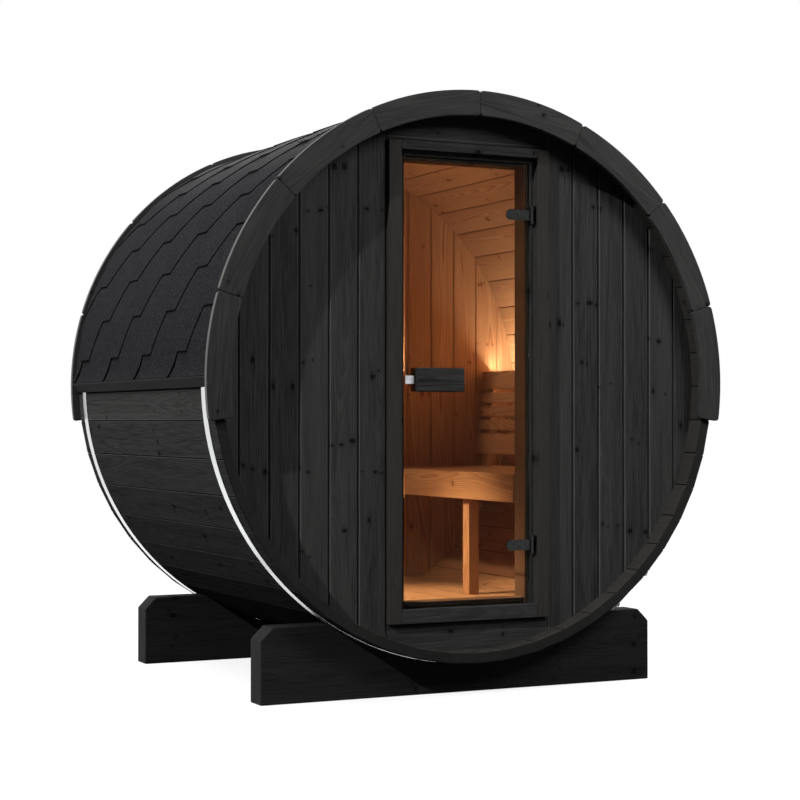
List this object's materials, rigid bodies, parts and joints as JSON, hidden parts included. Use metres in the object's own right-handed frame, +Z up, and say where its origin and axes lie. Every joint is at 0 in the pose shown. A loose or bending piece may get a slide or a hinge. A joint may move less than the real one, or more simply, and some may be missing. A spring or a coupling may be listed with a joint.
{
  "type": "barrel sauna",
  "caption": "Barrel sauna of dark stained staves on two cradles, with a shingled top, steel bands, a hinged tinted glass door and a bench with a backrest inside.",
  "frame": {"origin": "on the ground under the middle of the barrel, at the bottom centre of the bounding box", "axes": "+X to the right as seen from the door side, +Y from the door to the back wall along the barrel's axis, +Z up"},
  "size_m": [2.06, 1.585, 2.1439],
  "materials": {
    "black_wood": "spruce under a black stain, matt, grain and knots showing",
    "spruce": "planed bare spruce, warm",
    "steel": "bright stainless",
    "hinge_steel": "satin gunmetal",
    "shingle": "bitumen shingle with fine dark grey grit",
    "tinted_glass": "toughened, bronze tint",
    "lamp": "opal diffuser of a warm lamp"
  },
  "bodies": {
    "cabin": {"cradle_front": "black_wood", "cradle_rear": "black_wood", "staves_right_ridge": "black_wood", "staves_right_shoulder": "black_wood", "staves_right_side": "black_wood", "staves_right_keel": "black_wood", "staves_left_ridge": "black_wood", "staves_left_shoulder": "black_wood", "staves_left_side": "black_wood", "staves_left_keel": "black_wood", "front_band": "steel", "rear_band": "steel", "front_tensioner": "steel", "rear_tensioner": "steel", "front_fascia": "black_wood", "rear_fascia": "black_wood", "roof_covering": "shingle", "eave_batten_right": "black_wood", "eave_batten_left": "black_wood", "front_wall_left": "black_wood", "front_wall_right": "black_wood", "front_wall_over_door": "black_wood", "front_wall_under_door": "black_wood", "rear_wall": "black_wood", "hinge_jamb": "black_wood", "latch_jamb": "black_wood", "door_head": "black_wood", "door_sill": "black_wood", "upper_hinge_plate": "hinge_steel", "lower_hinge_plate": "hinge_steel", "floor_boards": "spruce", "floor_bearers": "spruce", "bench_apron": "spruce", "bench_slats": "spruce", "bench_bearers": "spruce", "bench_leg": "spruce", "backrest_boards": "spruce", "backrest_posts": "spruce", "backrest_lamp": "lamp"},
    "door": {"door_glass": "tinted_glass", "door_handle_outer": "black_wood", "door_handle_inner": "spruce", "door_latch": "steel", "upper_hinge_arm": "hinge_steel", "lower_hinge_arm": "hinge_steel"}
  },
  "joints": [
    {"name": "door_swing", "type": "hinge", "parent": "cabin", "child": "door", "pos_m": [0.263, -0.6985, 1.1], "axis": [0, 0, 1], "range_deg": [0, 110]}
  ]
}
